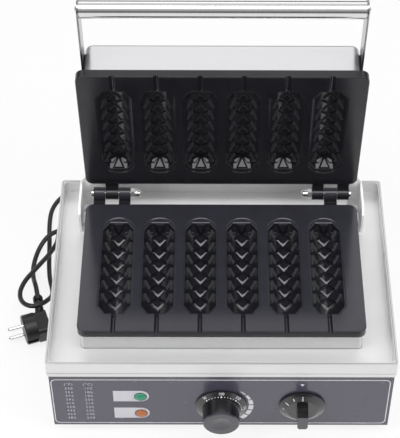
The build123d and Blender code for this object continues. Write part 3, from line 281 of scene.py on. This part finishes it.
# Cord: the route's points, then the coil's turns, then the route to the plug
CORD_D = 5.8
LYING_Z = CORD_D / 2
COIL_X, COIL_Y, COIL_R, COIL_PITCH = 25.0, 374.0, 39.4, 6.4
COIL_HALF_TURNS, HALF_TURN_POINTS = 4, 8
LEAD_ROUTE = [
    (-105, 307, 40), (-105, 324, 40), (-104, 346, 29), (-100, 366, 14), (-88, 387, 3.6),
    (-62, 403, 2.9), (-20, 413.4, 2.9),
]
RUN_ROUTE = [
    (-8, 334.6, 9.3), (-34, 334.6, 3.4), (-70, 338, 2.9), (-108, 348, 2.9), (-142, 370, 2.9),
    (-174, 378, 2.9), (-203, 366, 2.9), (-217, 342, 2.9), (-218, 312, 2.9), (-215, 280, 2.9),
    (-213.5, 248, 2.9), (-210.5, 222, 2.9), (-205.5, 203, 7), (-203.5, 187, 15), (-206, 173, 25),
    (-212, 160.5, 32), (-223, 155, 33), (-234, 161.5, 29), (-241, 175, 23), (-243, 191, 19),
    (-238.5, 207, 18.5), (-230, 221, 18.5), (-221, 237, 17), (-213.5, 251, 15), (-207.5, 267, 11.5),
    (-205, 285, 4), (-205, 306, 2.9), (-202, 327, 2.9), (-190, 343, 2.9), (-171, 347, 2.9),
    (-155, 337, 2.9), (-153, 318, 2.9), (-166, 303, 6), (-185, 298, 11), (-202, 294, 14.5),
    (-216, 285, 14.5), (-226, 272, 8), (-231.5, 255, 3), (-232.5, 237, 3.5), (-230, 219, 8),
    (-223.7, 196.97, 18.76), (-221.1, 182.7, 18.76),
]


def coil_points():
    """Half turns of the put-away coil: inwards on the floor, then one layer higher and outwards."""
    radii = [COIL_R - COIL_PITCH / 2 * i for i in range(COIL_HALF_TURNS + 1)]
    radii += radii[-2::-1]
    points = []
    side, y, z = 1, COIL_Y + COIL_R, LYING_Z
    for i, radius in enumerate(radii):
        climb = COIL_PITCH if i == COIL_HALF_TURNS else 0
        reach = radius / math.cos(math.pi / HALF_TURN_POINTS / 2)
        for k in range(HALF_TURN_POINTS):
            share = (k + 0.5) / HALF_TURN_POINTS
            turn = math.pi * share
            points.append((COIL_X + side * reach * math.sin(turn),
                           y - side * radius + side * reach * math.cos(turn), z + climb * share))
        y -= side * 2 * radius
        z += climb
        side = -side
    return points


def make_cord():
    points = LEAD_ROUTE + [(COIL_X, COIL_Y + COIL_R, LYING_Z)] + coil_points()
    points += [(COIL_X, COIL_Y - COIL_R, LYING_Z + COIL_PITCH)] + RUN_ROUTE
    curve = bpy.data.curves.new("supply_cord", "CURVE")
    curve.dimensions = "3D"
    curve.bevel_depth = CORD_D / 2 * MM
    curve.bevel_resolution = 5
    curve.resolution_u = 8
    curve.use_fill_caps = True
    spline = curve.splines.new("NURBS")
    spline.points.add(len(points) - 1)
    for point, place in zip(spline.points, points):
        point.co = (*at(*place), 1)
    spline.order_u = 3
    spline.use_endpoint_u = True
    cord = add_object("supply_cord", curve)
    curve.materials.append(cord_black)
    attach(cord, "base")
    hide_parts("supply_cord_lead", "supply_cord_coil", "supply_cord_run")


make_cord()


# Thin pieces made of outlines
LETTER_HALF_THICKNESS, LETTER_LIFT = 0.04, 0.06


def add_mesh(name, bm, material):
    mesh = bpy.data.meshes.new(name)
    bm.to_mesh(mesh)
    bm.free()
    mesh.materials.append(material)
    return add_object(name, mesh)


def mesh_piece(name, bm, material, body):
    piece = add_mesh(name, bm, material)
    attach(piece, body)


def plane_at(origin, right, up):
    """Frame with x along right, y along up and z towards the viewer of that plane."""
    right, up = Vector(right).normalized(), Vector(up).normalized()
    turn = Matrix((right, up, right.cross(up))).transposed().to_4x4()
    return Matrix.Translation(at(*origin)) @ turn


def moved(place, right, up):
    """The same plane with its origin moved in it."""
    return place @ Matrix.Translation((right * MM, up * MM, 0))


def verts_at(bm, points, height, place):
    return [bm.verts.new(place @ Vector((a * MM, b * MM, height * MM))) for a, b in points]


def prism(bm, points, thickness, place):
    """Thin prism over an outline, which runs anticlockwise on the plane that place carries."""
    front, back = verts_at(bm, points, thickness, place), verts_at(bm, points, 0, place)
    bm.faces.new(front)
    bm.faces.new(back[::-1])
    for i in range(len(points)):
        j = (i + 1) % len(points)
        bm.faces.new((front[i], back[i], back[j], front[j]))


def band(bm, outer, inner, thickness, place):
    """Thin ring between two outlines with the same number of points."""
    edges = ((outer, thickness), (outer, 0), (inner, 0), (inner, thickness))
    rings = [verts_at(bm, points, height, place) for points, height in edges]
    for ring, other in zip(rings, rings[1:] + rings[:1]):
        for i in range(len(outer)):
            j = (i + 1) % len(outer)
            bm.faces.new((ring[i], other[i], other[j], ring[j]))


def disc_points(radius, count=14):
    turns = [2 * math.pi * k / count for k in range(count)]
    return [(radius * math.cos(turn), radius * math.sin(turn)) for turn in turns]


def rounded_rectangle(left, right, low, high, corner_r, steps=6):
    points = []
    for x, y, start in ((right - corner_r, high - corner_r, 0), (left + corner_r, high - corner_r, 90),
                        (left + corner_r, low + corner_r, 180), (right - corner_r, low + corner_r, 270)):
        for k in range(steps + 1):
            turn = math.radians(start + 90 * k / steps)
            points.append((x + corner_r * math.cos(turn), y + corner_r * math.sin(turn)))
    return points


def border(bm, rectangle, inset, width, thickness, place):
    """Band inset from a rounded rectangle of (left, right, low, high, corner radius)."""
    left, right, low, high, corner_r = rectangle
    outlines = [rounded_rectangle(left + edge, right - edge, low + edge, high - edge, corner_r - edge)
                for edge in (inset, inset + width)]
    band(bm, *outlines, thickness, place)


def write(bm, text, size, place, spread=1.0, thin=0.0):
    """Adds the letters of text to bm as thin solids on the plane that place carries."""
    curve = bpy.data.curves.new("text", "FONT")
    curve.body = text
    curve.size = size * MM
    curve.extrude = LETTER_HALF_THICKNESS * MM
    curve.resolution_u = 3
    curve.space_character = spread
    curve.offset = -thin * MM
    curve.align_x = "CENTER"
    curve.align_y = "CENTER"
    holder = add_object("text", curve)
    bpy.context.view_layer.update()
    mesh = bpy.data.meshes.new_from_object(holder)
    mesh.transform(place @ Matrix.Translation((0, 0, LETTER_LIFT * MM)))
    bm.from_mesh(mesh)
    bpy.data.meshes.remove(mesh)
    bpy.data.objects.remove(holder)
    bpy.data.curves.remove(curve)


# Print on the front panel
PANEL_Y = 0.7
PANEL_PLANE = plane_at((0, PANEL_Y, 0), (1, 0, 0), (0, 0, 1))
PRINT_THICKNESS = 0.08
PRINT_FRAME = (-186.1, 184.5, 16.5, 98.3, 6.0)
PRINT_FRAME_W = 1.0
TIMER_TRIANGLE = ((86.2, 90.4), (88.5, 86.2), (90.8, 90.4))
KNOB_Z = 51.0
WEDGE_R = 33.2
WEDGE_START, WEDGE_PITCH, WEDGE_TURN = 40.2, 16.6, 13.6
WEDGE_HALF_WIDTHS = (0.6, 1.6, 2.4, 2.7, 2.7, 2.7)
WEDGE_STEPS = 4
NUMBER_COLUMNS = ((-167.1, "(°F)", 338, 18), (-145.9, "(°C)", 170, 10))
NUMBER_ROWS, NUMBER_PITCH = 9, 6.92
UNIT_Z, UNIT_SIZE, UNIT_SPREAD = 89.4, 5.4, 1.2
NUMBER_Z, NUMBER_SIZE, NUMBER_SPREAD = 81.7, 5.2, 1.25
NUMBER_THIN = 0.02


def wedge_points(i, half_w):
    """Outline of one wedge of the band round the temperature knob, half_w to each side of its middle."""
    points = []
    for radius, steps in ((WEDGE_R - half_w, range(WEDGE_STEPS + 1)),
                          (WEDGE_R + half_w, range(WEDGE_STEPS, -1, -1))):
        for k in steps:
            turn = math.radians(WEDGE_START + WEDGE_PITCH * i + WEDGE_TURN * k / WEDGE_STEPS)
            points.append((radius * math.sin(turn), KNOB_Z + radius * math.cos(turn)))
    return points


def make_panel_print():
    bm = bmesh.new()
    border(bm, PRINT_FRAME, 0, PRINT_FRAME_W, PRINT_THICKNESS, PANEL_PLANE)
    prism(bm, TIMER_TRIANGLE, PRINT_THICKNESS, PANEL_PLANE)
    for i, half_w in enumerate(WEDGE_HALF_WIDTHS):
        prism(bm, wedge_points(i, half_w), PRINT_THICKNESS, PANEL_PLANE)
    mesh_piece("panel_print_marks", bm, print_white, "base")


def make_panel_numbers():
    """Columns, each with its place across, unit, first number and step."""
    bm = bmesh.new()
    for x, unit, first, step in NUMBER_COLUMNS:
        write(bm, unit, UNIT_SIZE, moved(PANEL_PLANE, x, UNIT_Z), UNIT_SPREAD, NUMBER_THIN)
        for row in range(NUMBER_ROWS):
            place = moved(PANEL_PLANE, x, NUMBER_Z - NUMBER_PITCH * row)
            write(bm, str(first + step * row), NUMBER_SIZE, place, NUMBER_SPREAD, NUMBER_THIN)
    mesh_piece("panel_numbers", bm, number_grey, "base")


# Label plates of the two lamps, and dark rings round their lenses: painted shadow from the edges of the
# panel's holes
LAMP_X = -89.0
LAMP_HEIGHTS = (67.5, 36.0)
LABEL_LEFT, LABEL_HALF_H, LABEL_RISE = -119.0, 9.4, 0.6
LABEL_THICKNESS, LABEL_STEPS = 0.5, 12
SHADOW_RING_R, SHADOW_RING_BORE_R = 7.1, 6.4
SHADOW_RING_THICKNESS, SHADOW_RING_POINTS = 1.0, 32


def make_lamp_plates():
    """Plates that are square on the left and round on the right."""
    bm = bmesh.new()
    for lamp_z in LAMP_HEIGHTS:
        z = lamp_z + LABEL_RISE
        points = [(LABEL_LEFT, z - LABEL_HALF_H)]
        for k in range(LABEL_STEPS + 1):
            turn = math.pi * (k / LABEL_STEPS - 0.5)
            points.append((LAMP_X + LABEL_HALF_H * math.cos(turn), z + LABEL_HALF_H * math.sin(turn)))
        points.append((LABEL_LEFT, z + LABEL_HALF_H))
        prism(bm, points, LABEL_THICKNESS, PANEL_PLANE)
    mesh_piece("lamp_plates", bm, label_white, "base")


# Painted shadow: dark rings round the lenses stand for the shadow of the holes' edges
def make_lens_shadow_rings():
    bm = bmesh.new()
    outer, inner = disc_points(SHADOW_RING_R, SHADOW_RING_POINTS), disc_points(SHADOW_RING_BORE_R, SHADOW_RING_POINTS)
    for z in LAMP_HEIGHTS:
        band(bm, outer, inner, SHADOW_RING_THICKNESS, moved(PANEL_PLANE, LAMP_X, z))
    mesh_piece("lens_shadow_rings", bm, lens_shadow, "base")


# Dark lines: painted shade along the rim's folded edge on its top face, painted shadow in the hem's groove,
# and the plinth's joint
TRAY = (-190.0, 190.0, 0.0, 274.0, 4.0)
PLINTH = (-153.75, 153.75, 34.9, 215.3, 4.0)
RIM_Z, HEM_SHADOW_Z, DECK_Z = 126.1, 109.8, 109.5
SHADE_AND_JOINT_LINES = (
    # painted shade along the rim's edge
    (TRAY, 1.9, 0.6, RIM_Z, 0.05),
    # painted shadow in the hem's groove
    (TRAY, 0.1, 0.6, HEM_SHADOW_Z, 0.6),
    # the plinth's dark joint
    (PLINTH, -0.5, 0.8, DECK_Z, 0.1),
)


def make_shade_and_joint_lines():
    """Lines, each with its rectangle, inset, width, height above the floor and thickness."""
    bm = bmesh.new()
    for rectangle, inset, width, z, thickness in SHADE_AND_JOINT_LINES:
        border(bm, rectangle, inset, width, thickness, plane_at((0, 0, z), (1, 0, 0), (0, 1, 0)))
    mesh_piece("tray_shade_and_joint_lines", bm, seam_shade, "base")


make_panel_print()
make_panel_numbers()
make_lamp_plates()
make_lens_shadow_rings()
make_shade_and_joint_lines()


# Sloped edges round the moulds' lands and low ridges at their rear ends, which the solids leave out
MOULD_COUNT, MOULD_PITCH = 6, 47.0
MOULD_HALF, MOULD_FRONT_Y, MOULD_REAR_Y = 17.9, 56.0, 189.5
MOULD_CORNER_W, MOULD_CORNER_L = 8.1, 11.5
LAND_MARGIN, LAND_DEPTH, LAND_ARC_STEPS = 1.4, 0.8, 24
LAND_SLOPE_W, RIDGE_W = 1.0, 0.85
EDGE_RISE = 0.577
SUNK = 0.05
SLOPE_PROFILE = (
    (LAND_SLOPE_W, -LAND_DEPTH), (0, LAND_SLOPE_W * EDGE_RISE - LAND_DEPTH),
    (-SUNK, -LAND_DEPTH), (0, -LAND_DEPTH - SUNK),
)
RIDGE_PROFILE = (
    (0, -LAND_DEPTH), (-RIDGE_W, RIDGE_W * EDGE_RISE - LAND_DEPTH),
    (-RIDGE_W - SUNK, -LAND_DEPTH - SUNK), (-SUNK, -LAND_DEPTH - SUNK),
)


def sweep(bm, path, profile, closed, place):
    """Sweeps a closed profile of (inset, height) along a path of (x, y), mitred at its corners."""
    count = len(path)
    rings = []
    for i, (x, y) in enumerate(path):
        before, after = path[i - 1], path[(i + 1) % count]
        if not closed and i == 0:
            before = (2 * x - after[0], 2 * y - after[1])
        if not closed and i == count - 1:
            after = (2 * x - before[0], 2 * y - before[1])
        first = Vector((before[1] - y, x - before[0])).normalized()
        second = Vector((y - after[1], after[0] - x)).normalized()
        miter = (first + second) / (1 + first.dot(second))
        ring = [Vector((x + miter.x * inset, y + miter.y * inset, height)) for inset, height in profile]
        rings.append([bm.verts.new(place @ (point * MM)) for point in ring])
    for i in range(count if closed else count - 1):
        ring, other = rings[i], rings[(i + 1) % count]
        for k in range(len(profile)):
            j = (k + 1) % len(profile)
            bm.faces.new((ring[k], other[k], other[j], ring[j]))
    if not closed:
        bm.faces.new(rings[0])
        bm.faces.new(rings[-1])


def land_path(x):
    """Outline of the land round the mould at x, anticlockwise from above."""
    half = MOULD_HALF + LAND_MARGIN
    front, round_y = MOULD_FRONT_Y - LAND_MARGIN, MOULD_REAR_Y - MOULD_CORNER_L
    points = [(x + MOULD_CORNER_W - half, front), (x + half - MOULD_CORNER_W, front)]
    points.append((x + half, front + MOULD_CORNER_L))
    for k in range(LAND_ARC_STEPS + 1):
        turn = math.pi * k / LAND_ARC_STEPS
        points.append((x + half * math.cos(turn), round_y + half * math.sin(turn)))
    points.append((x - half, front + MOULD_CORNER_L))
    return points


def ridge_path(x):
    """The rear edge and its two cut corners of the mould at x, from right to left."""
    corner_y, inner = MOULD_REAR_Y - MOULD_CORNER_L, MOULD_HALF - MOULD_CORNER_W
    return [(x + MOULD_HALF, corner_y), (x + inner, MOULD_REAR_Y),
            (x - inner, MOULD_REAR_Y), (x - MOULD_HALF, corner_y)]


def make_mould_edges(name, body, material, place):
    bm = bmesh.new()
    for i in range(MOULD_COUNT):
        x = (i - (MOULD_COUNT - 1) / 2) * MOULD_PITCH
        sweep(bm, land_path(x), SLOPE_PROFILE, True, place)
        sweep(bm, ridge_path(x), RIDGE_PROFILE, False, place)
    bmesh.ops.recalc_face_normals(bm, faces=bm.faces)
    mesh_piece(name, bm, material, body)


# The upper plate is the lower one turned face down about the hinge's axis, then opened by an angle
PLATE_TOP_Z = 144.1
AXIS_Y, AXIS_Z = 235.4, 144.4
HALF_GAP = 0.3
OPEN_ANGLE = 83.6


def upper_plate_place():
    cosine, sine = math.cos(math.radians(OPEN_ANGLE)), math.sin(math.radians(OPEN_ANGLE))
    turn = Matrix(((1, 0, 0), (0, cosine, -sine), (0, -sine, -cosine))).to_4x4()
    to_axis = Matrix.Translation((0, -AXIS_Y * MM, -HALF_GAP * MM))
    return Matrix.Translation(at(0, AXIS_Y, AXIS_Z)) @ turn @ to_axis


make_mould_edges("lower_mould_edges", "base", coating_painted_lit_and_shaded, Matrix.Translation(at(0, 0, PLATE_TOP_Z)))
make_mould_edges("upper_mould_edges", "lid", coating, upper_plate_place())


# Marks on the knobs' sloping skirts
KNOB_BACK_Y = 0.1
MARK_THICKNESS = 0.06
DIAL_LABELS = ("50", "100", "150", "200", "250", "300")
DIAL_SLOPE, DIAL_START, DIAL_LABEL_TURN = 30.0, -45, 45
DIAL_LABEL_R, DIAL_LABEL_DEPTH, DIAL_LABEL_SIZE = 25.9, 3.12, 4.6
DIAL_DOT_R, DIAL_DOT_DEPTH = 22.7, 4.95
DOTS_PER_LABEL, BIG_DOT_R, SMALL_DOT_R = 5, 0.95, 0.55
TIMER_X = 89.5
TIMER_SLOPE, TIMER_FACE_R, TIMER_FACE_DEPTH = 27.3, 17.0, 6.85
TIMER_ZERO_R, TIMER_ZERO_SIZE = 18.6, 4.4
TIMER_BARS = ((0, 21.4, 2.0), (-29, 20.3, 3.2), (-58, 19.9, 5.4), (-88, 20.6, 2.6))
BAR_HALF_W = 0.45


def skirt_plane(x, radius, depth, slope, angle):
    """Plane on a knob's sloping skirt at a clock angle, with up pointing outwards."""
    turn, tilt = math.radians(angle), math.radians(slope)
    radial = Vector((math.sin(turn), 0, math.cos(turn)))
    right = Vector((math.cos(turn), 0, -math.sin(turn)))
    up = radial * math.cos(tilt) + Vector((0, 1, 0)) * math.sin(tilt)
    origin = (x + radius * math.sin(turn), KNOB_BACK_Y - depth, KNOB_Z + radius * math.cos(turn))
    return plane_at(origin, right, up)


def timer_plane(radius, angle):
    depth = TIMER_FACE_DEPTH - (radius - TIMER_FACE_R) * math.tan(math.radians(TIMER_SLOPE))
    return skirt_plane(TIMER_X, radius, depth, TIMER_SLOPE, angle)


def make_temperature_dial():
    bm = bmesh.new()
    for i, label in enumerate(DIAL_LABELS):
        angle = DIAL_START + DIAL_LABEL_TURN * i
        write(bm, label, DIAL_LABEL_SIZE, skirt_plane(0, DIAL_LABEL_R, DIAL_LABEL_DEPTH, DIAL_SLOPE, angle))
    for i in range((len(DIAL_LABELS) - 1) * DOTS_PER_LABEL + 1):
        dot_r = SMALL_DOT_R if i % DOTS_PER_LABEL else BIG_DOT_R
        angle = DIAL_START + DIAL_LABEL_TURN / DOTS_PER_LABEL * i
        place = skirt_plane(0, DIAL_DOT_R, DIAL_DOT_DEPTH, DIAL_SLOPE, angle)
        prism(bm, disc_points(dot_r), MARK_THICKNESS, place)
    mesh_piece("temperature_dial_marks", bm, print_white, "temperature_knob")


def make_timer_dial():
    """A zero, and bars that each have a clock angle, radius and length."""
    bm = bmesh.new()
    write(bm, "0", TIMER_ZERO_SIZE, timer_plane(TIMER_ZERO_R, 0))
    for angle, radius, length in TIMER_BARS:
        half = length / 2
        points = [(-BAR_HALF_W, -half), (BAR_HALF_W, -half), (BAR_HALF_W, half), (-BAR_HALF_W, half)]
        prism(bm, points, MARK_THICKNESS, timer_plane(radius, angle))
    mesh_piece("timer_dial_marks", bm, print_white, "timer_knob")


make_temperature_dial()
make_timer_dial()


# Floor, backdrop and soft boxes, in metres and watts
WHITE = (1, 1, 1, 1)
FLOOR_COLOR = (0.82, 0.82, 0.82, 1)
FLOOR_HALF = 6.0
FLOOR_GLOW_SHARE = 0.8
HORIZON_LIGHT, HORIZON_HEIGHT = 0.12, 0.22
SKY_LIGHT, SKY_HEIGHT = 0.78, 0.8
GLOSSY_SHARE = 0.04
SOFT_BOXES = (
    ("left_box", (-1.15, -0.55, 1.15), (0, 0, 0.15), (0.65, 0.65), 8, True),
    ("right_box", (1.15, -0.55, 1.15), (0, 0, 0.15), (0.65, 0.65), 8, True),
    ("top_box", (0, -0.45, 1.9), (0, 0, 0.15), (1.5, 0.8), 12.6, True),
    ("front_box", (0, -1.87, 0.85), (0, 0, 0.2), (1.3, 0.15), 1.3, False),
    ("back_box", (0, 1.7, 1.7), (0, 0, 0.2), (2.2, 1.0), 6, True),
)


def floor_material():
    """Pale matt floor that looks near white to the camera and in reflections."""
    material = bpy.data.materials.new("floor")
    material.use_nodes = True
    tree = material.node_tree
    tree.nodes.remove(tree.nodes["Principled BSDF"])
    diffuse = add_node(tree, "ShaderNodeBsdfDiffuse", {"Color": FLOOR_COLOR})
    glow = add_node(tree, "ShaderNodeEmission", {"Color": WHITE, "Strength": 1.0})
    rays = add_node(tree, "ShaderNodeLightPath").outputs
    seen = math_value(tree, "MAXIMUM", rays["Is Camera Ray"], rays["Is Glossy Ray"])
    seen = math_value(tree, "MAXIMUM", seen, rays["Is Transmission Ray"])
    share = math_value(tree, "MULTIPLY", seen, FLOOR_GLOW_SHARE)
    shader = mixed_shader(tree, share, diffuse.outputs[0], glow.outputs[0])
    feed(tree, tree.nodes["Material Output"], {"Surface": shader})
    return material


def make_floor():
    bm = bmesh.new()
    corners = ((-1, -1), (1, -1), (1, 1), (-1, 1))
    bm.faces.new([bm.verts.new((x * FLOOR_HALF, y * FLOOR_HALF, 0)) for x, y in corners])
    floor = add_mesh("floor", bm, floor_material())


def make_world():
    """White backdrop whose light grows from the horizon to the sky, with a little white in reflections."""
    world = bpy.data.worlds.new("studio")
    bpy.context.scene.world = world
    world.use_nodes = True
    tree = world.node_tree
    coords = add_node(tree, "ShaderNodeTexCoord")
    split = add_node(tree, "ShaderNodeSeparateXYZ", {0: coords.outputs["Generated"]})
    light = ranged(tree, split.outputs["Z"], HORIZON_LIGHT, SKY_LIGHT, HORIZON_HEIGHT, SKY_HEIGHT)
    sky = tree.nodes["Background"]
    feed(tree, sky, {"Color": WHITE, "Strength": light})
    backdrop = add_node(tree, "ShaderNodeBackground", {"Color": WHITE, "Strength": 1.0})
    rays = add_node(tree, "ShaderNodeLightPath").outputs
    seen = math_value(tree, "MULTIPLY_ADD", rays["Is Glossy Ray"], GLOSSY_SHARE, rays["Is Camera Ray"])
    seen = math_value(tree, "MAXIMUM", seen, rays["Is Transmission Ray"])
    shader = mixed_shader(tree, seen, sky.outputs[0], backdrop.outputs[0])
    feed(tree, tree.nodes["World Output"], {"Surface": shader})


def make_soft_boxes():
    """Lights, each with its name, place, target, size, power and whether reflections show it."""
    for name, place, target, size, power, glossy in SOFT_BOXES:
        data = bpy.data.lights.new(name, "AREA")
        data.shape = "RECTANGLE"
        data.size, data.size_y = size
        data.energy = power
        lamp = add_object(name, data)
        lamp.location = place
        lamp.rotation_euler = (Vector(target) - Vector(place)).to_track_quat("-Z", "Y").to_euler()
        lamp.visible_glossy = glossy


make_floor()
make_world()
make_soft_boxes()
bpy.context.scene.view_settings.view_transform = "Standard"
